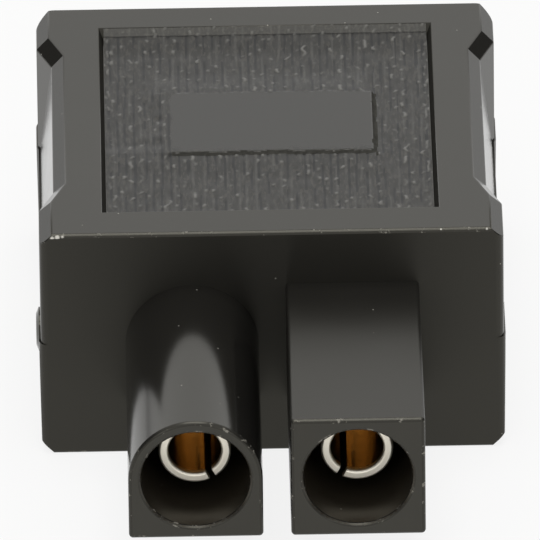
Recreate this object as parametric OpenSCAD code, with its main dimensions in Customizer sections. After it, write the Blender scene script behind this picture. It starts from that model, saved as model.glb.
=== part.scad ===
// Compact battery connector adapter without wires.
// A moulded housing has two plug pods on its front, one half-round and one square,
// each with a slotted socket contact inside. A keyed two-pin socket sits in its back.
// X runs across the pods, -Y points out of the pods, +Z is up. The part stands on z = 0.

/* [Front plug] */
// Bore inside each pod
pod_bore_d = 5.1; // [4.6:0.1:6]
// Wall between a pod's bore and its flat sides
pod_wall = 0.6; // [0.4:0.05:0.9]
// Free gap between the two pods
pod_gap = 1.3; // [1:0.1:2.4]
// How far the pods stand out of the body
pod_l = 12.5; // [10:0.5:16]
// Plastic left between the floor of a pod's bore and the front face of the body
pod_floor = 1; // [0.4:0.1:1.6]
// Lead-in chamfer at the mouth of a pod's bore
pod_lead = 0.12; // [0.05:0.01:0.2]
// Radius on the long edges of the pods
pod_edge_r = 0.2; // [0.1:0.05:0.35]

/* [Socket contacts] */
// Bore that takes the mating pin
socket_bore_d = 2.5; // [2:0.1:2.9]
// Wall of the slotted tube
socket_wall = 0.45; // [0.3:0.05:0.6]
// Distance from the tip of the pod to the rim of the socket
socket_recess = 2.6; // [1:0.1:4]
// Depth of the socket bore
socket_depth = 7.6; // [6.6:0.1:8.5]
// Width of the slots in the tube
socket_slot_w = 0.32; // [0.2:0.02:0.5]
// Length of the slots in the tube
socket_slot_l = 6; // [4:0.5:6.5]
// Angle of the slots below the horizontal, seen from the front
socket_slot_angle = 60; // [0:5:90]
// Chamfer on the rim of the socket
socket_rim = 0.08; // [0.04:0.01:0.12]
// Radial step of the collar that stops the socket in the front wall
socket_collar_step = 0.5; // [0.3:0.1:0.8]
// Length of the collar
socket_collar_l = 1.5; // [1:0.1:2.5]
// Diameter of the tail that is soldered into the pin
tail_d = 2; // [1.6:0.1:2.2]

/* [Rear pins] */
// Outside diameter of the split pins
pin_d = 3.5; // [3:0.1:3.6]
// Bore down the middle of the pin's leaves
pin_bore_d = 1.6; // [1.2:0.1:1.9]
// Width of the crossed slots
pin_slot_w = 0.4; // [0.3:0.05:0.5]
// Length of the crossed slots
pin_slot_l = 6; // [4:0.5:6.5]
// Chamfer on the tip of the pin
pin_tip = 0.5; // [0.2:0.1:0.7]
// Radial step of the shank that holds the pin in the floor of the insert
pin_shank_step = 0.3; // [0.2:0.05:0.4]
// Radial step of the collar that stops the shank in the insert
pin_collar_step = 0.4; // [0.3:0.05:0.6]
// Length of the collar
pin_collar_l = 1.2; // [0.8:0.1:1.8]
// Wall of the solder cup at the inner end of the pin
cup_wall = 0.35; // [0.25:0.05:0.5]
// Length of the solder cup
cup_l = 3.2; // [2:0.1:4]
// Solder thickness between tail and cup
solder_gap = 0.2; // [0.1:0.05:0.3]
// Length of the solder fillet in front of the cup
solder_fillet = 0.6; // [0.3:0.1:1]

/* [Rear insert] */
// Distance from the rear face to the tips of the pins
pin_recess = 1.2; // [0.5:0.1:3]
// Corner cut at the key end of the rear socket
key_cut = 2.4; // [1.5:0.1:3]
// Wall at the ends of the insert
insert_end_wall = 1.25; // [0.8:0.05:1.8]
// Wall above and below the rear socket
insert_flat_wall = 0.6; // [0.5:0.05:1]
// Thickness of the floor that carries the pins
insert_floor = 3; // [2.4:0.1:4]
// Corner radius of the insert
insert_r = 0.6; // [0.3:0.1:1]
// Lead-in chamfer round the mouth of the rear socket
insert_lead = 0.25; // [0.1:0.05:0.4]

/* [Body] */
// Width of the body's upper half
body_w = 21.9; // [20:0.1:26]
// Height of the body
body_h = 12; // [11:0.1:15]
// Length of the body behind the pods
body_l = 21.2; // [19.6:0.1:26]
// Wall of the housing at its sides
side_wall = 1.7; // [1.5:0.05:2.5]
// Wall of the housing above and below the insert
top_wall = 1.35; // [1.1:0.05:2]
// Thickness of the front wall behind the pods
front_wall = 4; // [3.2:0.1:6]
// Length of the chamber between front wall and insert
chamber_l = 5.2; // [4.4:0.1:7]
// Ledge that the insert seats on
seat_ledge = 1.2; // [0.8:0.1:1.4]
// Chamfer along the long edges of the body
edge_chamfer = 0.6; // [0.3:0.02:0.9]
// Radius of the upright corners at the front
front_corner_r = 0.4; // [0.2:0.1:0.8]
// Radius of the upright corners at the back
back_corner_r = 0.9; // [0.5:0.1:1.4]
// Draft of each side of the lower half, from the parting line to the edge chamfer
side_draft = 0.06; // [0.02:0.01:0.2]
// How far the lower mould half stands out past the upper one on each side
mould_step = 0.08; // [0.02:0.02:0.2]
// Diameter of the moulding gate's mark on the left side
gate_d = 2.1; // [1:0.1:2.4]
// How far the gate's mark stands out past the lower half
gate_h = 0.12; // [0.04:0.02:0.3]
// Slope round the rim of the gate's mark
gate_bevel = 0.3; // [0.1:0.05:0.4]
// Distance from the front face to the middle of the gate's mark
gate_front = 1.5; // [1.3:0.1:2]

/* [Finger grips] */
// Depth of a grip where the edge chamfer starts
grip_depth = 0.7; // [0.3:0.05:0.9]
// Depth of a grip at the parting line
grip_foot = 0.1; // [0.05:0.05:0.25]
// Length over which the ends of a grip slope
grip_run = 1.7; // [0.8:0.1:2.5]
// Distance from the front face to the start of a grip
grip_front = 3.25; // [2:0.05:5]
// Distance from the rear face to the end of a grip
grip_back = 2.75; // [2:0.05:5]

/* [Top panel] */
// Border between the panel and the sides of the body
panel_side = 3; // [2.2:0.05:4]
// Border between the panel and the front face
panel_front = 2.08; // [1.2:0.02:3]
// Border between the panel and the rear face
panel_back = 1.82; // [1.2:0.02:3]
// Depth of the panel
panel_depth = 0.5; // [0.25:0.05:0.6]
// Draft of the panel's walls
panel_draft = 0.2; // [0.05:0.05:0.4]
// Width of the smooth pad in the middle of the panel
pad_w = 9.8; // [6:0.1:12]
// Length of the smooth pad
pad_l = 5.35; // [3:0.05:8]
// Height of the pad above the floor of the panel
pad_h = 0.22; // [0.06:0.02:0.24]

/* [Fits] */
// Clearance round the insert
insert_gap = 0.05; // [0.02:0.01:0.1]
// Radial clearance round the contacts
contact_gap = 0.03; // [0.01:0.01:0.06]

/* [Hidden] */
$fn = 96;
over = 0.5;                      // how far cutters run past the faces that they cut
sliver = 0.01;                   // thickness of the slabs that a hull is stretched between

pod_w = pod_bore_d + 2 * pod_wall;
pole_pitch = pod_w + pod_gap;
left_x = -pole_pitch / 2;
right_x = pole_pitch / 2;

socket_od = socket_bore_d + 2 * socket_wall;
socket_collar_d = socket_od + 2 * socket_collar_step;
pin_shank_d = pin_d + 2 * pin_shank_step;
pin_collar_d = pin_shank_d + 2 * pin_collar_step;
cup_bore_d = tail_d + 2 * solder_gap;
cup_d = cup_bore_d + 2 * cup_wall;
tail_end_gap = solder_gap;       // solder under the end of the tail

mid_z = body_h / 2;
edge_z = mid_z - edge_chamfer;   // height of the edge chamfer above the parting line
lower_w = body_w + 2 * mould_step;
pocket_w = body_w - 2 * side_wall;
pocket_h = body_h - 2 * top_wall;
pocket_r = insert_r + insert_gap;
chamber_w = pocket_w - 2 * seat_ledge;
chamber_h = pocket_h - 2 * seat_ledge;
insert_w = pocket_w - 2 * insert_gap;
insert_h = pocket_h - 2 * insert_gap;
insert_l = body_l - front_wall - chamber_l;
cavity_w = insert_w - 2 * insert_end_wall;
cavity_h = insert_h - 2 * insert_flat_wall;
cavity_l = insert_l - insert_floor;
pin_l = cavity_l - pin_recess;   // length of pin that stands free in the rear socket

// Stations along the part, from the tips of the pods to the rear face
y_tip = -(pod_l + body_l) / 2;
y_face = y_tip + pod_l;
y_wall = y_face + front_wall;
y_seat = y_wall + chamber_l;
y_cavity = y_seat + insert_floor;
y_back = y_face + body_l;
y_rim = y_tip + socket_recess;

plastic = [0.24, 0.24, 0.23];
insert_plastic = [0.16, 0.16, 0.16];
gold = [0.83, 0.66, 0.30];
solder = [0.72, 0.73, 0.75];

// Rectangle with round corners, centred
module round_rect(w, h, r) {
  square([w - 2 * r, h], center = true);
  square([w, h - 2 * r], center = true);
  for (sx = [-1, 1], sy = [-1, 1])
    translate([sx * (w / 2 - r), sy * (h / 2 - r)]) circle(r);
}

// Turns a shape made along +Z so that it runs along +Y from y0, on the axis of one pole
module along_y(x, y0) {
  translate([x, y0, mid_z]) rotate([-90, 0, 0]) children();
}

// Extrudes an outline drawn in X and Z, centred on the middle height, from y0 to y1
module bar_y(y0, y1) {
  translate([0, y1, mid_z]) rotate([90, 0, 0]) linear_extrude(y1 - y0) children();
}

// Plan outline of one mould half: small corner radii at the front, larger at the back
module plan_outline(w) {
  translate([-w / 2, y_face + front_corner_r])
    square([w, body_l - front_corner_r - back_corner_r]);
  translate([-w / 2 + front_corner_r, y_face])
    square([w - 2 * front_corner_r, body_l / 2]);
  translate([-w / 2 + back_corner_r, y_back - body_l / 2])
    square([w - 2 * back_corner_r, body_l / 2]);
  for (s = [-1, 1]) {
    translate([s * (w / 2 - front_corner_r), y_face + front_corner_r]) circle(front_corner_r);
    translate([s * (w / 2 - back_corner_r), y_back - back_corner_r]) circle(back_corner_r);
  }
}

// Cross-section of one mould half above the parting line, with chamfered long edges
module half_section(w, draft) {
  x_edge = w / 2 - draft;
  x_flat = x_edge - edge_chamfer;
  polygon([
    [w / 2, 0], [x_edge, edge_z], [x_flat, body_h / 2],
    [-x_flat, body_h / 2], [-x_edge, edge_z], [-w / 2, 0]
  ]);
}

// Room in front of one wall of a grip. The wall runs through [x, y] in plan, faces +X turned by an
// angle, leans from its foot to its full depth, and ends in the edge chamfer
module wall_room(x, y, angle, foot, depth) {
  lean = (depth - foot) / edge_z;
  translate([x, y, mid_z]) rotate([0, 0, angle]) translate([0, body_l, 0])
    rotate([90, 0, 0]) linear_extrude(2 * body_l) polygon([
      [lean * over - foot, -over], [-depth, edge_z],
      [-depth - edge_chamfer - over, body_h / 2 + over],
      [body_l, body_h / 2 + over], [body_l, -over]
    ]);
}

// Cutter for one grip above the parting line, on the +X side: a leaning wall between two sloped ends
module grip_cutter(x_side) {
  end_angle = atan2(grip_depth, grip_run);
  intersection() {
    wall_room(x_side, 0, 0, grip_foot, grip_depth);
    wall_room(x_side, y_face + grip_front, end_angle, 0, 0);
    wall_room(x_side, y_back - grip_back, -end_angle, 0, 0);
  }
}

// One mould half of the body, above the parting line
module half_body(w, draft) {
  difference() {
    intersection() {
      translate([0, 0, mid_z]) linear_extrude(body_h) plan_outline(w);
      bar_y(y_face - over, y_back + over) half_section(w, draft);
    }
    for (s = [0, 1]) mirror([s, 0, 0]) grip_cutter(w / 2);
  }
}

// Body as moulded: the lower half is the upper one turned over, drafted and a little wider
module body_block() {
  half_body(body_w, 0);
  translate([0, 0, body_h]) mirror([0, 0, 1]) half_body(lower_w, side_draft);
}

// Cutter for the drafted panel in the top face
module panel_cutter() {
  panel_w = body_w - 2 * panel_side;
  panel_l = body_l - panel_front - panel_back;
  flare = panel_draft * (panel_depth + over) / panel_depth;
  floor_size = [panel_w - 2 * panel_draft, panel_l - 2 * panel_draft];
  translate([0, y_face + panel_front + panel_l / 2, body_h - panel_depth]) hull() {
    linear_extrude(sliver) square(floor_size, center = true);
    translate([0, 0, panel_depth + over - sliver]) linear_extrude(sliver)
      square([floor_size[0] + 2 * flare, floor_size[1] + 2 * flare], center = true);
  }
}

// Smooth raised pad in the middle of the panel
module panel_pad() {
  y_mid = (y_face + panel_front + y_back - panel_back) / 2;
  translate([-pad_w / 2, y_mid - pad_l / 2, body_h - panel_depth - over])
    cube([pad_w, pad_l, over + pad_h]);
}

// Low round mark that the moulding gate leaves on the left side, on the parting line
module gate_mark() {
  foot = gate_h + mould_step + over;
  translate([-lower_w / 2 - gate_h, y_face + gate_front, mid_z]) rotate([0, 90, 0])
    rotate_extrude() polygon([
      [0, 0], [gate_d / 2 - gate_bevel, 0], [gate_d / 2, gate_h], [gate_d / 2, foot], [0, foot]
    ]);
}

// Half-round pod outline: a barrel over a square-cornered lower half
module half_round_outline() {
  circle(pod_w / 2);
  intersection() {
    round_rect(pod_w, pod_w, pod_edge_r);
    translate([-pod_w / 2, -pod_w / 2]) square([pod_w, pod_w / 2]);
  }
}

// Stepped bore through one pod, the front wall and the seat of the socket's collar
module pole_bore(x) {
  bore_l = pod_l - pod_floor;
  along_y(x, y_tip) {
    translate([0, 0, -over]) cylinder(d = pod_bore_d, h = bore_l + over);
    translate([0, 0, -over])
      cylinder(d1 = pod_bore_d + 2 * (pod_lead + over), d2 = pod_bore_d, h = pod_lead + over);
    cylinder(d = socket_od + 2 * contact_gap, h = pod_l + front_wall + over);
  }
  along_y(x, y_wall - socket_collar_l)
    cylinder(d = socket_collar_d + 2 * contact_gap, h = socket_collar_l + over);
}

module housing() {
  color(plastic) {
    difference() {
      union() {
        difference() {
          body_block();
          panel_cutter();
        }
        panel_pad();
        gate_mark();
        translate([left_x, 0, 0]) bar_y(y_tip, y_face + over) half_round_outline();
        translate([right_x, 0, 0]) bar_y(y_tip, y_face + over)
          round_rect(pod_w, pod_w, pod_edge_r);
      }
      for (x = [left_x, right_x]) pole_bore(x);
      bar_y(y_wall, y_seat + over) square([chamber_w, chamber_h], center = true);
      bar_y(y_seat, y_back + over) round_rect(pocket_w, pocket_h, pocket_r);
    }
  }
}

// Outline of the rear socket: two corners are cut off at the key end
module key_outline(grow) {
  w = cavity_w / 2 + grow;
  h = cavity_h / 2 + grow;
  cut = key_cut + grow * (2 - sqrt(2));
  polygon([[-w, -h], [w - cut, -h], [w, -h + cut], [w, h - cut], [w - cut, h], [-w, h]]);
}

module rear_insert() {
  color(insert_plastic) difference() {
    bar_y(y_seat, y_back) round_rect(insert_w, insert_h, insert_r);
    bar_y(y_cavity, y_back + over) key_outline(0);
    hull() {
      bar_y(y_back - insert_lead, y_back - insert_lead + sliver) key_outline(0);
      bar_y(y_back + over - sliver, y_back + over) key_outline(insert_lead + over);
    }
    for (x = [left_x, right_x]) along_y(x, y_seat) {
      translate([0, 0, -over])
        cylinder(d = pin_shank_d + 2 * contact_gap, h = insert_floor + 2 * over);
      translate([0, 0, -over])
        cylinder(d = pin_collar_d + 2 * contact_gap, h = pin_collar_l + over);
    }
  }
}

// Turned socket contact: slotted tube, stop collar and solder tail
module socket_contact(x, slot_angle) {
  z_collar = y_wall - socket_collar_l - y_rim;
  z_wall = y_wall - y_rim;
  z_end = y_seat - tail_end_gap - y_rim;
  rb = socket_bore_d / 2;
  ro = socket_od / 2;
  rc = socket_collar_d / 2;
  color(gold) along_y(x, y_rim) difference() {
    rotate_extrude() polygon([
      [rb + socket_rim, 0], [ro - socket_rim, 0], [ro, socket_rim], [ro, z_collar],
      [rc, z_collar], [rc, z_wall], [tail_d / 2, z_wall], [tail_d / 2, z_end],
      [0, z_end], [0, socket_depth], [rb, socket_depth], [rb, socket_rim]
    ]);
    rotate([0, 0, slot_angle]) translate([-socket_od, -socket_slot_w / 2, -over])
      cube([2 * socket_od, socket_slot_w, socket_slot_l + over]);
  }
}

// Turned rear pin: crossed leaves, shank, stop collar and solder cup
module rear_pin(x) {
  z_collar = pin_collar_l;
  z_tip = insert_floor + pin_l;
  z_slot = z_tip - pin_slot_l;
  rp = pin_d / 2;
  rs = pin_shank_d / 2;
  rc = pin_collar_d / 2;
  rb = pin_bore_d / 2;
  color(gold) along_y(x, y_seat) difference() {
    rotate_extrude() polygon([
      [0, 0], [cup_bore_d / 2, 0], [cup_bore_d / 2, -cup_l], [cup_d / 2, -cup_l], [cup_d / 2, 0],
      [rc, 0], [rc, z_collar], [rs, z_collar], [rs, insert_floor], [rp, insert_floor],
      [rp, z_tip - pin_tip], [rp - pin_tip, z_tip], [rb, z_tip], [rb, z_slot], [0, z_slot]
    ]);
    for (a = [45, 135]) rotate([0, 0, a]) translate([-pin_d, -pin_slot_w / 2, z_slot])
      cube([2 * pin_d, pin_slot_w, pin_slot_l + over]);
  }
}

// Solder that fills the cup round the tail, with a fillet in front of the cup
module solder_joint(x) {
  rt = tail_d / 2;
  color(solder) along_y(x, y_seat) rotate_extrude() polygon([
    [0, 0], [0, -tail_end_gap], [rt, -tail_end_gap], [rt, -cup_l - solder_fillet],
    [cup_d / 2, -cup_l], [cup_bore_d / 2, -cup_l], [cup_bore_d / 2, 0]
  ]);
}

module socket_contact_left() { socket_contact(left_x, socket_slot_angle); }
module socket_contact_right() { socket_contact(right_x, 180 - socket_slot_angle); }
module rear_pin_left() { rear_pin(left_x); }
module rear_pin_right() { rear_pin(right_x); }
module solder_joint_left() { solder_joint(left_x); }
module solder_joint_right() { solder_joint(right_x); }

housing();
rear_insert();
socket_contact_left();
socket_contact_right();
rear_pin_left();
rear_pin_right();
solder_joint_left();
solder_joint_right();
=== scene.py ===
import math

import bmesh
import bpy
from mathutils import Matrix, Vector, noise


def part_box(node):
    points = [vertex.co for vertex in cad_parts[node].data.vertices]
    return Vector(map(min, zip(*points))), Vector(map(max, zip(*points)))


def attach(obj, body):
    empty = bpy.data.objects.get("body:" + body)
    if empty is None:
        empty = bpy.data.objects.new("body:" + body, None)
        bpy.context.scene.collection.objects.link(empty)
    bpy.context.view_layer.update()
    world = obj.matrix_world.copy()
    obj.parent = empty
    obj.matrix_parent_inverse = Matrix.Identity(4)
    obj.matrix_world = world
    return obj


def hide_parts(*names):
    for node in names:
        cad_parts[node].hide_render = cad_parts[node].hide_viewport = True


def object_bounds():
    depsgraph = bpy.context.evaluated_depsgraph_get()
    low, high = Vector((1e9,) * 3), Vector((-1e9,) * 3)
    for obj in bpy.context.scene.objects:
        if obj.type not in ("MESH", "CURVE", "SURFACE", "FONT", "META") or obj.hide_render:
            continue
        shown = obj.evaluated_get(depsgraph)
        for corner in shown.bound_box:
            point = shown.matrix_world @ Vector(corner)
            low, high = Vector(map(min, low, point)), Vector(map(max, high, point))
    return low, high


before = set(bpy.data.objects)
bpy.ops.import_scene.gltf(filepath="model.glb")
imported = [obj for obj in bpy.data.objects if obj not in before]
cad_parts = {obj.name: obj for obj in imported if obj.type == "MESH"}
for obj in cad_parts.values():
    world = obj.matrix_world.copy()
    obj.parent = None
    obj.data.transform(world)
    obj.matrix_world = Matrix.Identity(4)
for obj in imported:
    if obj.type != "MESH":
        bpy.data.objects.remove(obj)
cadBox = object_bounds()
scene = bpy.context.scene
mm = 0.001
print("frame loaded:", len(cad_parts), "nodes")


def hexColour(code):  # sRGB hex to linear RGBA
    channels = [int(code[i:i + 2], 16) / 255 for i in (1, 3, 5)]
    linear = [c / 12.92 if c <= 0.04045 else ((c + 0.055) / 1.055) ** 2.4 for c in channels]
    return (*linear, 1.0)


def perSize(sizeMm):  # texture scale that gives features of this size
    return 1.0 / (sizeMm * mm)


def addNode(tree, kind, settings=None, links=None):  # a node, its values and what feeds it
    node = tree.nodes.new(kind)
    for name, value in (settings or {}).items():
        if isinstance(name, str) and hasattr(node, name):
            setattr(node, name, value)
        else:
            node.inputs[name].default_value = value
    for name, source in (links or {}).items():
        tree.links.new(source, node.inputs[name])
    return node


def newMaterial(name):  # an empty node tree with the object's coordinates
    material = bpy.data.materials.new(name)
    material.use_nodes = True
    tree = material.node_tree
    tree.nodes.clear()
    place = addNode(tree, "ShaderNodeTexCoord").outputs["Object"]
    return material, tree, place


def closeMaterial(tree, shader):
    addNode(tree, "ShaderNodeOutputMaterial", links={"Surface": shader})


# Camera: a long lens from the front and above
cameraSettings = {
    "elevation": 30.83,    # degrees above the horizon
    "turn": 0.583,         # degrees round the part
    "roll": 0.677,         # degrees
    "distance": 976.6,     # mm
    "frameWidth": 25.51,   # mm across the picture at that distance
    "bodyFace": (0, -4.35, 6.0),   # middle of the body's front face, mm
    "aside": -0.118,       # mm from that point to the middle of the picture
    "above": 3.363,
    "sensor": 36.0,
}


def makeCamera(s):
    e, t, r = (math.radians(s[k]) for k in ("elevation", "turn", "roll"))
    forward = Vector((math.sin(t) * math.cos(e), math.cos(t) * math.cos(e), -math.sin(e)))
    levelRight = Vector((math.cos(t), -math.sin(t), 0))
    levelUp = levelRight.cross(forward)
    right = math.cos(r) * levelRight - math.sin(r) * levelUp
    up = math.sin(r) * levelRight + math.cos(r) * levelUp
    spot = Vector(s["bodyFace"]) + s["aside"] * right + s["above"] * up - s["distance"] * forward
    data = bpy.data.cameras.new("studioCamera")
    data.sensor_width = s["sensor"]
    data.lens = s["sensor"] * s["distance"] / s["frameWidth"]
    data.clip_start, data.clip_end = 0.05, 20
    camera = bpy.data.objects.new("studioCamera", data)
    turned = Matrix((right, up, -forward)).transposed().to_4x4()
    camera.matrix_world = Matrix.Translation(spot * mm) @ turned
    scene.collection.objects.link(camera)
    scene.camera = camera


makeCamera(cameraSettings)
print("camera placed")

# Surroundings: a white studio whose two sides fall off to grey, as between side curtains
worldSettings = {
    "fill": 0.45,          # strength as a light
    "sideWhite": 0.10,     # white of the sides, where they are seen or mirrored
    "sideStart": (0.46, 0.61),   # share of the view direction that points sideways
    "sideTop": (0.50, 0.75),     # share that points up, where the sides end
}
# Floor: pale, and it keeps the part's soft shadow
floorSettings = {
    "size": 6.0,           # m
    "drop": 0.02,          # mm under the part
    "colour": "#f2f2f0",
    "white": 0.84,         # share of plain white that the camera and reflections see
}


def seenRays(tree):  # 1 for rays that show the background: camera, glossy or transmission
    path = addNode(tree, "ShaderNodeLightPath")
    some = addNode(tree, "ShaderNodeMath", {"operation": "MAXIMUM"},
                   {0: path.outputs["Is Camera Ray"], 1: path.outputs["Is Glossy Ray"]})
    either = addNode(tree, "ShaderNodeMath", {"operation": "MAXIMUM"},
                     {0: some.outputs[0], 1: path.outputs["Is Transmission Ray"]})
    return either.outputs[0]


def makeWorld(s):
    world = bpy.data.worlds.new("whiteStudio")
    scene.world = world
    world.use_nodes = True
    tree = world.node_tree
    tree.nodes.clear()
    way = addNode(tree, "ShaderNodeTexCoord").outputs["Generated"]
    parts = addNode(tree, "ShaderNodeSeparateXYZ", links={0: way})
    aside = addNode(tree, "ShaderNodeMath", {"operation": "ABSOLUTE"}, {0: parts.outputs["X"]})
    across = addNode(tree, "ShaderNodeMapRange",
                     {"interpolation_type": "SMOOTHSTEP",
                      "From Min": s["sideStart"][0], "From Max": s["sideStart"][1]},
                     {"Value": aside.outputs[0]})
    low = addNode(tree, "ShaderNodeMapRange",
                  {"interpolation_type": "SMOOTHSTEP", "To Min": 1.0, "To Max": 0.0,
                   "From Min": s["sideTop"][0], "From Max": s["sideTop"][1]},
                  {"Value": parts.outputs["Z"]})
    side = addNode(tree, "ShaderNodeMath", {"operation": "MULTIPLY"},
                   {0: across.outputs[0], 1: low.outputs[0]})
    white = addNode(tree, "ShaderNodeMapRange", {"To Min": 1.0, "To Max": s["sideWhite"]},
                    {"Value": side.outputs[0]})
    strength = addNode(tree, "ShaderNodeMix", {"data_type": "FLOAT", 2: s["fill"]},
                       {0: seenRays(tree), 3: white.outputs[0]})
    glow = addNode(tree, "ShaderNodeBackground", {"Color": hexColour("#ffffff")},
                   {"Strength": strength.outputs[0]})
    addNode(tree, "ShaderNodeOutputWorld", links={"Surface": glow.outputs[0]})


def makeFloor(s):
    material, tree = newMaterial("paleFloor")[:2]
    matt = addNode(tree, "ShaderNodeBsdfDiffuse", {"Color": hexColour(s["colour"])})
    white = addNode(tree, "ShaderNodeEmission", {"Color": hexColour("#ffffff"), "Strength": 1.0})
    share = addNode(tree, "ShaderNodeMath", {"operation": "MULTIPLY", 1: s["white"]}, {0: seenRays(tree)})
    upper = addNode(tree, "ShaderNodeMixShader",
                    links={0: share.outputs[0], 1: matt.outputs[0], 2: white.outputs[0]})
    face = addNode(tree, "ShaderNodeNewGeometry")
    clear = addNode(tree, "ShaderNodeBsdfTransparent")  # from under the floor the part's underside shows
    both = addNode(tree, "ShaderNodeMixShader",
                   links={0: face.outputs["Backfacing"], 1: upper.outputs[0], 2: clear.outputs[0]})
    closeMaterial(tree, both.outputs[0])
    bm = bmesh.new()
    bmesh.ops.create_grid(bm, x_segments=1, y_segments=1, size=s["size"] / 2,
                          matrix=Matrix.Translation((0, 0, -s["drop"] * mm)))
    mesh = bpy.data.meshes.new("studioFloor")
    bm.to_mesh(mesh)
    bm.free()
    mesh.materials.append(material)
    floor = bpy.data.objects.new("studioFloor", mesh)
    scene.collection.objects.link(floor)


makeWorld(worldSettings)
makeFloor(floorSettings)

# Lamps: soft boxes round the part, aimed at its middle
lampSettings = {
    "topBox": {"azimuth": 0, "elevation": 88, "distance": 0.6, "size": (0.30, 0.36), "watts": 1.2},
    "frontBox": {"azimuth": 0, "elevation": 59, "distance": 0.6, "size": (0.26, 0.16), "watts": 0.45},
    "backBox": {"azimuth": 180, "elevation": 33, "distance": 0.6, "size": (1.10, 0.62), "watts": 0.66},
    "leftLow": {"azimuth": -32, "elevation": 20, "distance": 0.6, "size": (0.16, 0.16), "watts": 0.14},
    "rightLow": {"azimuth": 32, "elevation": 20, "distance": 0.6, "size": (0.16, 0.16), "watts": 0.14},
}


def makeLamps(lamps):
    low, high = cadBox
    middle = (low + high) / 2
    for name, s in lamps.items():
        a, e = math.radians(s["azimuth"]), math.radians(s["elevation"])
        away = Vector((math.sin(a) * math.cos(e), -math.cos(a) * math.cos(e), math.sin(e)))
        data = bpy.data.lights.new(name, "AREA")
        data.shape = "RECTANGLE"
        data.size, data.size_y = s["size"]
        data.energy = s["watts"]
        lamp = bpy.data.objects.new(name, data)
        turned = away.to_track_quat("Z", "Y").to_matrix().to_4x4()
        lamp.matrix_world = Matrix.Translation(middle + away * s["distance"]) @ turned
        scene.collection.objects.link(lamp)


makeLamps(lampSettings)
print("stage and lamps set")

# Glass-filled nylon, moulded: nearly black inside, with a smooth skin that mirrors the surroundings;
# dust and scuffs show as pale specks, and on worn edges the skin is broken into pale nicks; listed nicks
# are painted near white, partly bare nylon and partly a painted highlight
nylonSettings = {
    "colour": "#1b1a18",
    "colourPale": "#201f1d",
    "ior": 1.46,
    "skinTint": "#fffbe9",
    "roughness": (0.12, 0.17),
    "cloudSize": 3.0,      # mm, slow change of gloss over the skin
    "grainSize": 0.11,     # mm, grain of the mould; drawn coarser than the real 0.03 so that it shows
    "grainDepth": 0.0010,  # mm
    "dustColour": "#8d8b83",
    "dustSpacing": 0.9,    # mm between places where a speck may lie
    "dustSize": 0.05,      # mm across a speck; drawn coarser than the real 0.02 so that it shows
    "dustShare": 0.35,     # share of the places with a speck
    "wearColour": "#807d75",
    "wearSize": 0.45,      # mm along a nick
    "wearStart": 0.60,     # level of the noise where a nick starts; 1 leaves the skin whole
    "wearFade": 0.06,      # rise of the noise over which a nick is bare
    "wearRoughness": 0.5,
    "wearBehind": 0.0,     # mm, station behind which nothing rubs on the edges
    "nickColour": "#dbd8cf",
    "nicks": [],           # bare nicks painted near white, partly a painted highlight; each a place and a radius in mm
}


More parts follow.
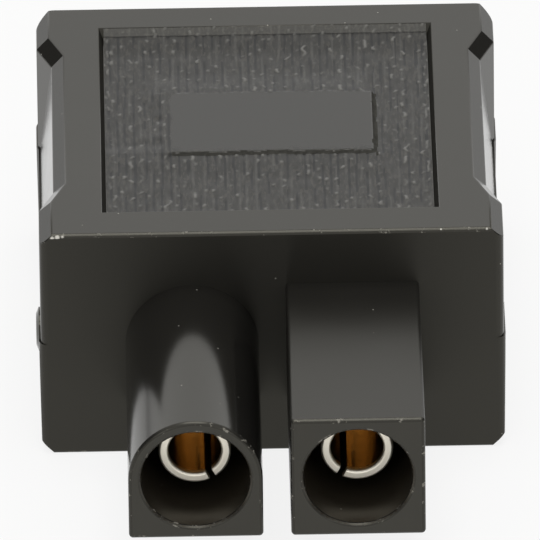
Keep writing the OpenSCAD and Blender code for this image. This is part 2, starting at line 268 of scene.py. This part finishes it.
def mouldedNylon(name, s):
    material, tree, place = newMaterial(name)
    cloud = addNode(tree, "ShaderNodeTexNoise", {"Scale": perSize(s["cloudSize"]), "Detail": 3.0},
                    {"Vector": place})
    grain = addNode(tree, "ShaderNodeTexNoise", {"Scale": perSize(s["grainSize"]), "Detail": 2.0},
                    {"Vector": place})
    spots = addNode(tree, "ShaderNodeTexVoronoi", {"Scale": perSize(s["dustSpacing"])}, {"Vector": place})
    reach = s["dustSize"] / s["dustSpacing"]
    near = addNode(tree, "ShaderNodeMapRange", {"From Min": reach, "From Max": reach / 2},
                   {"Value": spots.outputs["Distance"]})
    lot = addNode(tree, "ShaderNodeSeparateColor", links={0: spots.outputs["Color"]})
    drawn = addNode(tree, "ShaderNodeMath", {"operation": "LESS_THAN", 1: s["dustShare"]},
                    {0: lot.outputs[0]})
    dust = addNode(tree, "ShaderNodeMath", {"operation": "MULTIPLY"},
                   {0: near.outputs[0], 1: drawn.outputs[0]})
    nick = addNode(tree, "ShaderNodeTexNoise",
                   {"Scale": perSize(s["wearSize"]), "Detail": 4.0, "Roughness": 0.7}, {"Vector": place})
    paled = addNode(tree, "ShaderNodeMapRange",
                     {"From Min": s["wearStart"], "From Max": s["wearStart"] + s["wearFade"]},
                     {"Value": nick.outputs["Fac"]})
    station = addNode(tree, "ShaderNodeSeparateXYZ", links={0: place})
    ahead = addNode(tree, "ShaderNodeMath", {"operation": "LESS_THAN", 1: s["wearBehind"] * mm},
                    {0: station.outputs["Y"]})
    worn = addNode(tree, "ShaderNodeMath", {"operation": "MULTIPLY"},
                   {0: paled.outputs[0], 1: ahead.outputs[0]})
    plain = addNode(tree, "ShaderNodeMix", {"data_type": "RGBA", 6: hexColour(s["colour"]),
                                            7: hexColour(s["colourPale"])}, {0: cloud.outputs["Fac"]})
    dusty = addNode(tree, "ShaderNodeMix", {"data_type": "RGBA", 7: hexColour(s["dustColour"])},
                    {0: dust.outputs[0], 6: plain.outputs[2]})
    colour = addNode(tree, "ShaderNodeMix", {"data_type": "RGBA", 7: hexColour(s["wearColour"])},
                     {0: worn.outputs[0], 6: dusty.outputs[2]})
    for spot, radius in s["nicks"]:
        away = addNode(tree, "ShaderNodeVectorMath", {"operation": "DISTANCE", 1: [c * mm for c in spot]},
                       {0: place})
        bare = addNode(tree, "ShaderNodeMapRange", {"From Min": radius * mm, "From Max": 0.5 * radius * mm},
                       {"Value": away.outputs["Value"]})
        colour = addNode(tree, "ShaderNodeMix", {"data_type": "RGBA", 7: hexColour(s["nickColour"])},
                         {0: bare.outputs[0], 6: colour.outputs[2]})
    satin = addNode(tree, "ShaderNodeMapRange", {"To Min": s["roughness"][0], "To Max": s["roughness"][1]},
                    {"Value": cloud.outputs["Fac"]})
    gloss = addNode(tree, "ShaderNodeMix", {"data_type": "FLOAT", 3: s["wearRoughness"]},
                    {0: worn.outputs[0], 2: satin.outputs[0]})
    bump = addNode(tree, "ShaderNodeBump", {"Strength": 1.0, "Distance": s["grainDepth"] * mm},
                   {"Height": grain.outputs["Fac"]})
    skin = addNode(tree, "ShaderNodeBsdfPrincipled",
                   {"IOR": s["ior"], "Specular Tint": hexColour(s["skinTint"])},
                   {"Base Color": colour.outputs[2], "Roughness": gloss.outputs[0],
                    "Normal": bump.outputs[0]})
    closeMaterial(tree, skin.outputs[0])
    return material


# Nylon that copies a spark-eroded mould: duller and darker than the skin, with fine dark lines and short pale
# dashes along the panel that are painted shade and painted highlight, and pale tips on raised flecks, a
# painted highlight
erodedSettings = {
    "colour": "#131211",
    "lineShadeColour": "#040404",
    "dashHighlightColour": "#2b2925",
    "tipHighlightColour": "#676662",
    "lineSize": (0.13, 1.3),     # mm across and along a line
    "lineStart": 0.52,           # level of the noise where a line starts
    "dashSize": (0.13, 0.45),    # mm across and along a dash
    "dashStart": 0.52,
    "markFade": 0.10,            # rise of the noise over which a mark is full
    "roughness": 0.42,
    "skinTint": "#fffdf4",
}


def erodedNylon(name, s, skin):
    material, tree, place = newMaterial(name)
    marks = {}
    for mark in ("line", "dash"):
        across, along = s[mark + "Size"]
        scaled = addNode(tree, "ShaderNodeMapping",
                         {"Scale": (perSize(across), perSize(along), perSize(across))}, {"Vector": place})
        rough = addNode(tree, "ShaderNodeTexNoise", {"Scale": 1.0, "Detail": 2.0},
                        {"Vector": scaled.outputs[0]})
        start = s[mark + "Start"]
        shown = addNode(tree, "ShaderNodeMapRange", {"From Min": start, "From Max": start + s["markFade"]},
                        {"Value": rough.outputs["Fac"]})
        marks[mark] = shown.outputs[0]
    # painted shade in the dark lines, painted highlight in the pale dashes
    colour = addNode(tree, "ShaderNodeMix", {"data_type": "RGBA", 6: hexColour(s["colour"]),
                                             7: hexColour(s["lineShadeColour"])}, {0: marks["line"]})
    colour = addNode(tree, "ShaderNodeMix", {"data_type": "RGBA", 7: hexColour(s["dashHighlightColour"])},
                     {0: marks["dash"], 6: colour.outputs[2]})
    eroded = addNode(tree, "ShaderNodeAttribute", {"attribute_name": "erodedAndShadeShare"})
    colour = addNode(tree, "ShaderNodeMix", {"data_type": "RGBA", 6: hexColour(skin["colourPale"])},
                     {0: eroded.outputs["Fac"], 7: colour.outputs[2]})
    # painted highlight: pale tips on the raised flecks
    tip = addNode(tree, "ShaderNodeAttribute", {"attribute_name": "fleckShare"})
    colour = addNode(tree, "ShaderNodeMix", {"data_type": "RGBA", 7: hexColour(s["tipHighlightColour"])},
                     {0: tip.outputs["Fac"], 6: colour.outputs[2]})
    gloss = addNode(tree, "ShaderNodeMapRange", {"To Min": skin["roughness"][1], "To Max": s["roughness"]},
                    {"Value": eroded.outputs["Fac"]})
    plastic = addNode(tree, "ShaderNodeBsdfPrincipled",
                      {"IOR": skin["ior"], "Specular Tint": hexColour(s["skinTint"])},
                      {"Base Color": colour.outputs[2], "Roughness": gloss.outputs[0]})
    closeMaterial(tree, plastic.outputs[0])
    return material


# Painted shade: dark matt nylon laid on the panel's side walls, in its lines and round its pad, so that each
# reads as a dark line
mattShadeSettings = {
    "colour": "#1f1e1b",
    "colourPale": "#2d2c27",
    "mottleSize": 0.3,       # mm
    "roughness": 0.9,
    "specular": 0.08,
}


def mattShade(name, s):
    material, tree, place = newMaterial(name)
    mottle = addNode(tree, "ShaderNodeTexNoise", {"Scale": perSize(s["mottleSize"]), "Detail": 3.0},
                    {"Vector": place})
    colour = addNode(tree, "ShaderNodeMix", {"data_type": "RGBA", 6: hexColour(s["colour"]),
                                             7: hexColour(s["colourPale"])}, {0: mottle.outputs["Fac"]})
    matt = addNode(tree, "ShaderNodeBsdfPrincipled",
                   {"Roughness": s["roughness"], "Specular IOR Level": s["specular"]},
                   {"Base Color": colour.outputs[2]})
    closeMaterial(tree, matt.outputs[0])
    return material


# Gold-plated turned brass: a deep yellow mirror with turning rings, darker where it is stained;
# a socket's rim is painted near white, a painted highlight, and made rougher
giltSettings = {
    "colour": "#e3cda6",
    "colourDeep": "#c4ab7e",
    "roughness": (0.14, 0.24),
    "ringPitch": 0.754,    # mm between turning rings; drawn coarser than the real 0.1 so that they show
    "ringDepth": 0.0015,   # mm
    "stainSize": 0.8,      # mm
    "rimHighlightColour": "#fff9ea",
    "rimRoughness": 0.5,
    "rimAt": None,         # mm, station of the rim with the painted highlight
    "rimDepth": 0.12,      # mm that is painted pale all the way
    "rimFade": 0.30,       # mm over which the plating takes over behind that
}


def giltBrass(name, s):
    material, tree, place = newMaterial(name)
    stainAndShade = addNode(tree, "ShaderNodeTexNoise", {"Scale": perSize(s["stainSize"]), "Detail": 3.0},
                    {"Vector": place})
    waveTurns = 20 / (2 * math.pi)  # waves that this node draws at a scale of 1
    rings = addNode(tree, "ShaderNodeTexWave",
                    {"bands_direction": "Y", "Scale": perSize(s["ringPitch"]) / waveTurns,
                     "Distortion": 0.6, "Detail": 1.0}, {"Vector": place})
    plating = addNode(tree, "ShaderNodeMix", {"data_type": "RGBA", 6: hexColour(s["colour"]),
                                              7: hexColour(s["colourDeep"])}, {0: stainAndShade.outputs["Fac"]})
    colour = plating.outputs[2]
    turned = addNode(tree, "ShaderNodeMapRange", {"To Min": s["roughness"][0], "To Max": s["roughness"][1]},
                     {"Value": stainAndShade.outputs["Fac"]})
    gloss = turned.outputs[0]
    # painted highlight: near white and rougher at the socket's rim
    if s["rimAt"] is not None:
        station = addNode(tree, "ShaderNodeSeparateXYZ", links={0: place})
        rimEnd = s["rimAt"] + s["rimDepth"]
        paled = addNode(tree, "ShaderNodeMapRange",
                         {"From Min": (rimEnd + s["rimFade"]) * mm, "From Max": rimEnd * mm},
                         {"Value": station.outputs["Y"]})
        rim = addNode(tree, "ShaderNodeMix", {"data_type": "RGBA", 7: hexColour(s["rimHighlightColour"])},
                      {0: paled.outputs[0], 6: colour})
        dulled = addNode(tree, "ShaderNodeMix", {"data_type": "FLOAT", 3: s["rimRoughness"]},
                         {0: paled.outputs[0], 2: gloss})
        colour, gloss = rim.outputs[2], dulled.outputs[0]
    bump = addNode(tree, "ShaderNodeBump", {"Strength": 1.0, "Distance": s["ringDepth"] * mm},
                   {"Height": rings.outputs["Fac"]})
    metal = addNode(tree, "ShaderNodeBsdfPrincipled", {"Metallic": 1.0},
                    {"Base Color": colour, "Roughness": gloss, "Normal": bump.outputs[0]})
    closeMaterial(tree, metal.outputs[0])
    return material


# Tin solder: bright grey, softly frosted where it froze
solderSettings = {
    "colour": "#c9cacc",
    "colourDull": "#9fa0a3",
    "roughness": (0.22, 0.45),
    "frostSize": 0.35,     # mm
    "frostDepth": 0.01,    # mm
}


def tinSolder(name, s):
    material, tree, place = newMaterial(name)
    frost = addNode(tree, "ShaderNodeTexNoise", {"Scale": perSize(s["frostSize"]), "Detail": 4.0},
                    {"Vector": place})
    colour = addNode(tree, "ShaderNodeMix", {"data_type": "RGBA", 6: hexColour(s["colour"]),
                                             7: hexColour(s["colourDull"])}, {0: frost.outputs["Fac"]})
    gloss = addNode(tree, "ShaderNodeMapRange", {"To Min": s["roughness"][0], "To Max": s["roughness"][1]},
                    {"Value": frost.outputs["Fac"]})
    bump = addNode(tree, "ShaderNodeBump", {"Strength": 1.0, "Distance": s["frostDepth"] * mm},
                   {"Height": frost.outputs["Fac"]})
    metal = addNode(tree, "ShaderNodeBsdfPrincipled", {"Metallic": 1.0},
                    {"Base Color": colour.outputs[2], "Roughness": gloss.outputs[0],
                     "Normal": bump.outputs[0]})
    closeMaterial(tree, metal.outputs[0])
    return material


# Finishes of the mouldings: each is the nylon above with its own gloss and tone; the front face's darker tone
# is painted shade, and the paler tones of the pod mouths and bores are painted light
edgeNicks = [              # on the body's front edge, mm; painted near white, partly a painted highlight
    ((-10.32, -4.36, 11.83), 0.13), ((-10.08, -4.37, 11.90), 0.15), ((-9.84, -4.37, 11.94), 0.11),
    ((8.0, -4.30, 11.98), 0.07), ((10.16, -4.32, 11.97), 0.08),
]
wholeSkin = {**nylonSettings, "wearStart": 1.0}
insertColours = {"colour": "#1b1b1b", "colourPale": "#222222"}
housingSkin = mouldedNylon("housing nylon", wholeSkin)
# Front face: rougher, and painted darker than the skin, a painted shade
housingDull = mouldedNylon("housing nylon, dull face painted darker", {
    **wholeSkin, "colour": "#0e0d0c", "colourPale": "#131211", "ior": 1.53, "roughness": (0.46, 0.54)})
# Pod mouths: rougher, and painted paler than the skin, a painted light
housingMouth = mouldedNylon("housing nylon, pod mouths painted lighter", {
    **wholeSkin, "colour": "#2a2927", "colourPale": "#302f2c", "roughness": (0.30, 0.38)})
housingSatin = mouldedNylon("housing nylon, satin pod", {
    **wholeSkin, "ior": 1.43, "roughness": (0.30, 0.38)})
# Bores: painted paler and browner than the skin, a painted light inside them
housingBore = mouldedNylon("housing nylon, bores painted paler", {
    **wholeSkin, "colour": "#2b2720", "colourPale": "#332e26", "roughness": (0.22, 0.28)})
housingEdge = mouldedNylon("housing nylon, worn edges with painted highlights", {
    **nylonSettings, "nicks": edgeNicks, "wearBehind": -4.1, "roughness": (0.20, 0.28)})
insertSkin = mouldedNylon("insert nylon", {**wholeSkin, **insertColours})
insertEdge = mouldedNylon("insert nylon, worn edges", {**nylonSettings, **insertColours})
panelEroded = erodedNylon("panel nylon, spark-eroded with painted shade and highlights", erodedSettings, nylonSettings)
# painted shade on the panel's side walls, in its lines and at the pad's edge
panelWallShade = mattShade("matt nylon, painted shade on the panel walls", mattShadeSettings)
panelLineShade = mattShade("matt nylon, painted shade in the panel lines", {
    **mattShadeSettings, "colour": "#0b0b0a", "colourPale": "#171613", "specular": 0.33, "roughness": 0.42})
panelEdgeShade = mattShade("matt nylon, painted shade at the pad's edge", {
    **mattShadeSettings, "colour": "#242320", "colourPale": "#4f4e49"})
pinGilt = giltBrass("gold-plated brass pin", giltSettings)
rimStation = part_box("socket_contact_left")[0].y / mm
socketGilt = giltBrass("gold-plated brass socket", {**giltSettings, "rimAt": rimStation})
solder = tinSolder("tin solder", solderSettings)
print("materials made")

# Pieces that keep the solid's own form, with the small edge rounds that the mould and handling leave;
# widths in mm, and zones are boxes in mm where the rounds differ, the first that fits holds
housingZones = [
    {"low": (-12, -5, 5.9), "high": (12, 18, 6.1), "round": 0, "crease": 0},              # parting line
    {"low": (-12, -4.3, 4.8), "high": (-11, -1.6, 7.2), "round": 0, "crease": 0},         # gate mark
    {"low": (-12, -4.5, -1), "high": (-10.36, -3.9, 13), "round": 0.05, "crease": 0.05},  # upright corners
    {"low": (10.36, -4.5, -1), "high": (12, -3.9, 13), "round": 0.05, "crease": 0.05},
    {"low": (-12, 15.8, -1), "high": (12, 18, 13), "round": 0.05, "crease": 0.05},        # rear end
    {"low": (-10.36, -4.5, 11.9), "high": (10.36, -4.2, 12.1), "round": 0.18, "crease": 0.05},  # front edge
    {"low": (-9.4, -4.3, 1.2), "high": (9.4, 16.7, 10.8), "round": 0, "crease": 0},       # inside
    {"low": (-7.2, -16.9, 2.7), "high": (7.2, -16.6, 9.3), "round": 0.17, "crease": 0.04},  # pod mouths
    {"low": (-8.1, -2.4, 11.4), "high": (8.1, 15.2, 12.1), "round": 0.03, "crease": 0},   # panel
]
housingFinishes = [        # boxes in mm whose faces have another finish, the last that fits holds
    {"low": (-12, -4.4, -1), "high": (12, -4.3, 13), "material": housingDull},            # front face
    {"low": (-8, -16.9, 2), "high": (8, -16.8, 10), "material": housingMouth},            # pod mouths
    {"low": (0.5, -16.8, 2), "high": (7.5, -4.4, 10), "material": housingSatin},          # square pod
    # painted shade: dark matt nylon on the panel's side walls
    {"low": (-8, -2.4, 11.45), "high": (-7.7, 15.2, 12), "material": panelWallShade},         # panel's side walls
    {"low": (7.7, -2.4, 11.45), "high": (8, 15.2, 12), "material": panelWallShade},
]
boreFinish = {"low": (-7, -16.8, 3), "high": (7, -5, 9), "within": 2.7, "material": housingBore}
housingFinishes += [{**boreFinish, "axis": (x, 6)} for x in (-3.8, 3.8)]                  # bores of the pods
pieceSettings = {
    "housing": {
        "name": "housing_moulding", "slot": "housing_plastic", "skin": housingSkin, "worn": housingEdge,
        "round": 0.12, "crease": 0.05, "zones": housingZones, "finishes": housingFinishes},
    "rear_insert": {
        "name": "insert_moulding", "slot": "insert_plastic", "skin": insertSkin, "worn": insertEdge,
        "round": 0.06, "crease": 0.04},
}
pairSettings = {           # one on the left and one on the right
    "socket_contact": {
        "name": "socket_tube", "slot": "gilt_brass", "skin": socketGilt, "round": 0.03, "crease": 0.03},
    "rear_pin": {
        "name": "split_pin", "slot": "gilt_brass", "skin": pinGilt, "round": 0.03, "crease": 0.03},
    "solder_joint": {
        "name": "solder_fillet", "slot": "tin_solder", "skin": solder, "round": 0.05, "crease": 0.05},
}
for node, settings in pairSettings.items():
    for side in ("left", "right"):
        pieceSettings[node + "_" + side] = {**settings, "name": side + "_" + settings["name"]}
edgeSettings = {
    "mergeGap": 0.001,     # mm
    "flat": 1.0,           # degrees, faces that are one plane
    "sharpFrom": 12,       # degrees between faces, flats that meet; less is a curve
    "creaseFrom": 25,      # degrees between faces, a crease
    "roundFrom": 60,       # degrees between faces, a full edge
    "segments": 3,
}


def inBox(point, low, high):
    return all(a <= p <= b for a, p, b in zip(low, point, high))


def hasFinish(point, finish):  # round an axis along Y, only what lies near it has the finish
    x, z = finish.get("axis", (point.x, point.z))
    near = math.hypot(point.x - x, point.z - z) <= finish.get("within", 0)
    return near and inBox(point, finish["low"], finish["high"])


def edgeWidth(edge, s, edges):  # how wide this edge is rounded, mm
    angle = math.degrees(edge.calc_face_angle(0))
    if angle < edges["creaseFrom"] or not edge.is_convex:
        return 0
    middle = (edge.verts[0].co + edge.verts[1].co) / 2 / mm
    zone = s
    for z in s.get("zones", []):
        if inBox(middle, z["low"], z["high"]):
            zone = z
            break
    return zone["round"] if angle > edges["roundFrom"] else zone["crease"]


def roundedCopy(node, s, edges):
    bm = bmesh.new()
    bm.from_mesh(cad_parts[node].data)
    bmesh.ops.remove_doubles(bm, verts=bm.verts, dist=edges["mergeGap"] * mm)
    bmesh.ops.dissolve_limit(bm, angle_limit=math.radians(edges["flat"]), verts=bm.verts, edges=bm.edges)
    bm.normal_update()
    weight = bm.edges.layers.float.new("bevel_weight_edge")
    widths = [edgeWidth(e, s, edges) for e in bm.edges]
    for e, width in zip(bm.edges, widths):
        e[weight] = width / max(widths)
        e.smooth = e.calc_face_angle(math.pi) < math.radians(edges["sharpFrom"])
    finishes = s.get("finishes", [])
    for f in bm.faces:
        f.smooth = True
        for index, finish in enumerate(finishes):
            if hasFinish(f.calc_center_median() / mm, finish):
                f.material_index = index + 1
    mesh = bpy.data.meshes.new(s["name"])
    bm.to_mesh(mesh)
    bm.free()
    for material in (s["skin"], *(finish["material"] for finish in finishes), s.get("worn", s["skin"])):
        mesh.materials.append(material)
    piece = bpy.data.objects.new(s["name"], mesh)
    scene.collection.objects.link(piece)
    bevel = piece.modifiers.new("edgeRound", "BEVEL")
    bevel.width = max(widths) * mm
    bevel.segments = edges["segments"]
    bevel.limit_method = "WEIGHT"
    bevel.use_clamp_overlap = False
    bevel.loop_slide = False
    bevel.material = len(mesh.materials) - 1
    shade = piece.modifiers.new("evenShading", "WEIGHTED_NORMAL")
    shade.keep_sharp = True
    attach(piece, "root")
    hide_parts(node)


for node, settings in pieceSettings.items():
    roundedCopy(node, settings, edgeSettings)
print("pieces rounded:", len(pieceSettings))

# Panel floor: broken lines left by the mould's tool, cut in and given dark matt nylon as a painted shade,
# thin ridges and flecks between them with tips painted pale as a painted highlight, a smooth pad with ragged
# edges and a groove at the foot of the rear wall, all on one closed sheet that lies in the panel
panelSettings = {
    "cell": 0.057,         # mm between points of the sheet
    "halfWidth": 7.72,     # mm, stops just short of the panel's side walls
    "front": -2.095,
    "back": 15.0,          # mm, behind the foot of the rear wall
    "floor": 11.5,         # mm, height of the panel's floor
    "under": 0.06,         # mm that the sheet reaches into the housing
    "lift": 0.10,          # mm, middle of the texture above the floor
    "rearLift": 0.15,      # mm more at the foot of the rear wall
    "rearRun": 2.0,        # mm over which it rises to that
    "lowest": 0.015,
    "sharpFrom": 70,       # degrees between faces
    "stripeFlat": {"line": 0.5, "ridge": 0.3, "fleck": 0.3, "bead": 0.2},  # flat share of a stripe's width
    "linePitch": 0.42,     # mm between the broken lines
    "lineWander": 0.10,    # mm to each side
    "wanderRate": (0.8, 0.22),   # waves per mm across and along
    "lineShift": 0.4,      # share of the pitch that a line may stand aside
    "lineWidth": 0.115,
    "lineLength": 1.7,
    "lineKept": 0.66,      # share of a line that is there, and how far that swings
    "lineSwing": 2.2,
    "lineDepth": 0.02,
    "grainSize": (0.14, 0.80),   # mm across and along
    "grainHeight": 0.025,
    "ridgeShift": 0.3,
    "ridgeWidth": 0.12,    # mm, thin pale ridges between the lines
    "ridgeLength": 2.4,
    "ridgeKept": 0.3,
    "ridgeSwing": 2.4,
    "ridgeShare": 0.20,    # how pale a ridge is painted beside a fleck, a painted highlight
    "fleckShift": 0.5,
    "fleckWidth": 0.16,    # mm, flecks that stand on the ridges
    "fleckLength": 0.45,
    "fleckStart": 0.12,    # level of the noise where a fleck starts
    "fleckFade": 0.5,      # rise of the noise over which it is full
    "fleckHeight": 0.04,
    "fleckClear": 3,       # a fleck of one part in this hides a dark line
    "wallStretch": 2,      # flecks are shorter up the rear wall
    "beadInset": 0.17,     # mm from the side walls, where flecks gather
    "beadShift": 0.08,
    "beadWidth": 0.14,
    "beadSwing": 1.5,
    "beadShare": 0.8,
    "padHeight": 0.235,
    "padHalf": 4.93,
    "padFront": 3.68,
    "padBack": 9.08,
    "padSlopes": {"left": 0.5, "right": 0.2, "front": 0.1, "back": 0.22},
    "padRagged": {"left": 0.16, "right": 0.02, "front": 0.12, "back": 0.10},
    "tearSize": 0.8,       # mm along a tear of the pad's edge
    "edgeFade": 0.1,       # mm over which the marks at the pad's edges end
    "padInset": 0.3,       # mm that the texture runs over the pad's left end
    "padEndRun": 0.5,      # mm more slope in front of that end
    "padRearRun": 2.2,     # mm over which the floor rises to the pad from front and back
    "padSideRun": 1.0,     # mm over which that rise ends at the sides
    "padCornerRun": 0.5,   # mm before the rear right corner, where it ends too
    "padFrontLift": 0.055,  # mm that the floor rises in front of the pad
    "padFrontFlat": 0.3,   # mm that stay at that height
    "shadeRun": 0.7,       # mm over which the eroded texture's darker colour and dullness run up from the pad's front edge, a painted shade
    "shadeStart": 0.7,
    "shadeRagged": 0.7,
    "shadeShare": 0.8,     # share of the eroded texture's darker colour and dullness there
    "grooveWidth": 0.09,   # mm, along the pad's front and right edges
    "grooveFlat": 0.3,
    "grooveDepth": 0.02,
    "grooveReach": {"right": 0.3, "front": 0.4},   # mm from the pad where the groove is cut off
    "edgeShadeStart": 0.4,     # level from which a slope or groove at the pad gets the dark matt nylon, a painted shade
    "edgeShadeRagged": 0.5,
    "wallFoot": 14.7,      # mm, where the sheet starts to climb the rear wall
    "wallRise": 0.76,      # mm up for each mm back
    "footWidth": 0.1,
    "footDepth": 0.03,
}
noiseLayers = {            # depths in the noise, so that no two patterns match
    "grain": 0.0, "wander": 3.0, "ridgeShift": 5.0, "lineShift": 7.0, "line": 11.0, "ridge": 13.0,
    "fleck": 17.0, "bead": 23.0, "tear": 31.0,
}
lineStrides = {            # steps in the noise from one line to the next
    "lineShift": 1.7, "line": 3.7, "ridgeShift": 2.3, "ridge": 3.1, "fleck": 5.7, "bead": 9.5,
}
midway = 0.5               # between whole numbers, where the noise is nil
beadRow = 3.0              # row of the noise that shifts the beads


def smoothRise(value):
    v = min(1.0, max(0.0, value))
    return v * v * (3 - 2 * v)


def lineNoise(layer, line, along):  # smooth noise that differs from one line to the next
    return noise.noise((line * lineStrides[layer], along, noiseLayers[layer]))


def stripe(kind, offset, s):  # 1 along the middle of a line, ridge, fleck or bead, and 0 beside it
    return smoothRise(1 + s["stripeFlat"][kind] - 2 * offset / s[kind + "Width"])


def fleckRise(x, y, phase, s):  # pale ridges broken into flecks, and a row of beads at each side wall; 0 to 1
    ridge = math.floor(phase) + 0.5
    along = y / s["fleckLength"]
    straight = abs(phase + s["ridgeShift"] * lineNoise("ridgeShift", ridge, midway) - ridge) * s["linePitch"]
    shifted = abs(phase + s["fleckShift"] * lineNoise("ridgeShift", ridge, along) - ridge) * s["linePitch"]
    kept = smoothRise(s["ridgeKept"] + s["ridgeSwing"] * lineNoise("ridge", ridge, y / s["ridgeLength"]))
    fleck = smoothRise((lineNoise("fleck", ridge, along) - s["fleckStart"]) / s["fleckFade"])
    shift = s["beadShift"] * noise.noise((along, beadRow, noiseLayers["ridgeShift"]))
    away = abs(s["halfWidth"] - s["beadInset"] - abs(x) + shift)
    bead = s["beadShare"] * smoothRise(s["beadSwing"] * lineNoise("bead", math.copysign(1, x), along))
    return max(s["ridgeShare"] * kept * stripe("ridge", straight, s), fleck * stripe("fleck", shifted, s),
               bead * stripe("bead", away, s))


def panelPoint(x, y, s):  # height, shares of eroded texture (with painted shade at the pad's front edge) and of a fleck, and 1 on a line or 2 at the pad's edge
    acrossRate, alongRate = s["wanderRate"]
    wander = s["lineWander"] * noise.noise((x * acrossRate, y * alongRate, noiseLayers["wander"]))
    phase = (x + wander) / s["linePitch"]
    line = round(phase + s["lineShift"] * lineNoise("lineShift", round(phase), midway))
    offset = abs(phase + s["lineShift"] * lineNoise("lineShift", line, midway) - line) * s["linePitch"]
    kept = smoothRise(s["lineKept"] + s["lineSwing"] * lineNoise("line", line, y / s["lineLength"]))
    onFloor = 1 - smoothRise((y - s["wallFoot"] + s["footWidth"]) / s["footWidth"])
    cut = onFloor * kept * stripe("line", offset, s)
    across, along = s["grainSize"]
    grain = s["grainHeight"] * noise.noise((x / across, y / along, noiseLayers["grain"]))
    climb = max(0.0, y - s["wallFoot"]) * s["wallRise"]
    fleck = fleckRise(x, y + s["wallStretch"] * climb, phase, s)
    torn = noise.noise((x / s["tearSize"], y / s["tearSize"], noiseLayers["tear"]))
    edges = {"left": x + s["padHalf"], "right": s["padHalf"] - x,
             "front": y - s["padFront"], "back": s["padBack"] - y}
    behind = smoothRise(1 - abs(edges["back"]) / s["padRearRun"])
    behind *= smoothRise(1 + edges["left"] / s["padSideRun"]) * smoothRise(edges["right"] / s["padCornerRun"])
    ahead = smoothRise(1 + (edges["front"] + s["padFrontFlat"]) / s["padRearRun"])
    ahead *= smoothRise(1 - edges["front"] / s["padSideRun"])
    ahead *= smoothRise(1 + edges["right"] / s["padSideRun"])
    ramp = s["rearLift"] * smoothRise((y - s["wallFoot"] + s["rearRun"]) / s["rearRun"])
    ramp += (s["padHeight"] - s["lift"]) * behind + s["padFrontLift"] * ahead
    rough = s["lift"] + ramp + onFloor * grain - s["lineDepth"] * cut + s["fleckHeight"] * fleck
    softEnd = s["padEndRun"] * (1 - smoothRise((edges["left"] - s["edgeFade"]) / s["padInset"]))
    slope = {**s["padSlopes"], "front": s["padSlopes"]["front"] + softEnd}
    ragged = s["padRagged"]
    pad = 1.0
    for side, inward in edges.items():
        pad *= smoothRise((inward + slope[side] + ragged[side] * torn) / slope[side])
    outside = [-edges[side] - slope[side] - ragged[side] * torn for side in ("front", "right")]
    groove = max(smoothRise(1 + s["grooveFlat"] - abs(d / s["grooveWidth"] - 0.5)) for d in outside)
    beside = smoothRise((edges["left"] - s["padInset"]) / s["edgeFade"])
    beside *= smoothRise((edges["back"] + s["edgeFade"]) / (2 * s["edgeFade"]))
    beside *= smoothRise((edges["right"] + s["grooveReach"]["right"]) / s["edgeFade"])
    beside *= smoothRise((edges["front"] + slope["front"] + s["grooveReach"]["front"]) / s["edgeFade"])
    dug = s["grooveDepth"] * groove * beside * (1 - pad)
    foot = s["footDepth"] * smoothRise(1 - abs(s["wallFoot"] - s["footWidth"] / 2 - y) / s["footWidth"])
    height = max(s["lowest"], pad * s["padHeight"] + (1 - pad) * rough - dug - foot + climb)
    eroded = 1 - pad * smoothRise((edges["left"] - s["padInset"] + ragged["left"] * torn) / s["edgeFade"])
    # painted shade: slopes and grooves round the pad take the dark matt nylon, and the eroded texture's
    # darker colour runs up from its front edge
    stainAndShade = beside * (4 * pad * (1 - pad) + groove * (1 - pad)) > s["edgeShadeStart"] + s["edgeShadeRagged"] * torn
    tone = 2 if stainAndShade else eroded * cut * (1 - smoothRise(s["fleckClear"] * fleck))
    shade = smoothRise(s["shadeStart"] + s["shadeRagged"] * torn - edges["front"] / s["shadeRun"])
    return height, max(eroded, s["shadeShare"] * shade), eroded * fleck, tone


def panelSheet(s):
    width, length = 2 * s["halfWidth"], s["back"] - s["front"]
    centre = Vector((0, (s["front"] + s["back"]) / 2, s["floor"]))
    bm = bmesh.new()
    bmesh.ops.create_grid(bm, x_segments=round(width / s["cell"]), y_segments=round(length / s["cell"]),
                          size=0.5)
    bmesh.ops.scale(bm, vec=(width, length, 1), verts=bm.verts)
    bmesh.ops.translate(bm, vec=centre, verts=bm.verts)
    eroded = bm.verts.layers.float.new("erodedAndShadeShare")
    tips = bm.verts.layers.float.new("fleckShare")
    # lines and the pad's edge take the dark matt nylon, a painted shade
    for f in bm.faces:
        middle = f.calc_center_median()
        f.material_index = math.floor(panelPoint(middle.x, middle.y, s)[3] + 0.5)  # to the nearest
    for v in bm.verts:
        height, v[eroded], v[tips] = panelPoint(v.co.x, v.co.y, s)[:3]
        v.co.z += height
    rim = [e for e in bm.edges if e.is_boundary]
    skirt = bmesh.ops.extrude_edge_only(bm, edges=rim)["geom"]
    for v in (g for g in skirt if isinstance(g, bmesh.types.BMVert)):
        v.co.z = s["floor"] - s["under"]
    bmesh.ops.contextual_create(bm, geom=[e for e in bm.edges if e.is_boundary])
    bmesh.ops.recalc_face_normals(bm, faces=bm.faces)
    bmesh.ops.scale(bm, vec=(mm, mm, mm), verts=bm.verts)
    mesh = bpy.data.meshes.new("panel_texture")
    bm.to_mesh(mesh)
    bm.free()
    mesh.shade_smooth()
    mesh.set_sharp_from_angle(angle=math.radians(s["sharpFrom"]))
    for material in (panelEroded, panelLineShade, panelEdgeShade):
        mesh.materials.append(material)
    piece = bpy.data.objects.new("panel_texture", mesh)
    scene.collection.objects.link(piece)
    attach(piece, "root")
    print("panel textured:", len(mesh.polygons), "faces")


panelSheet(panelSettings)

scene.view_settings.view_transform = "Standard"
print("scene ready")
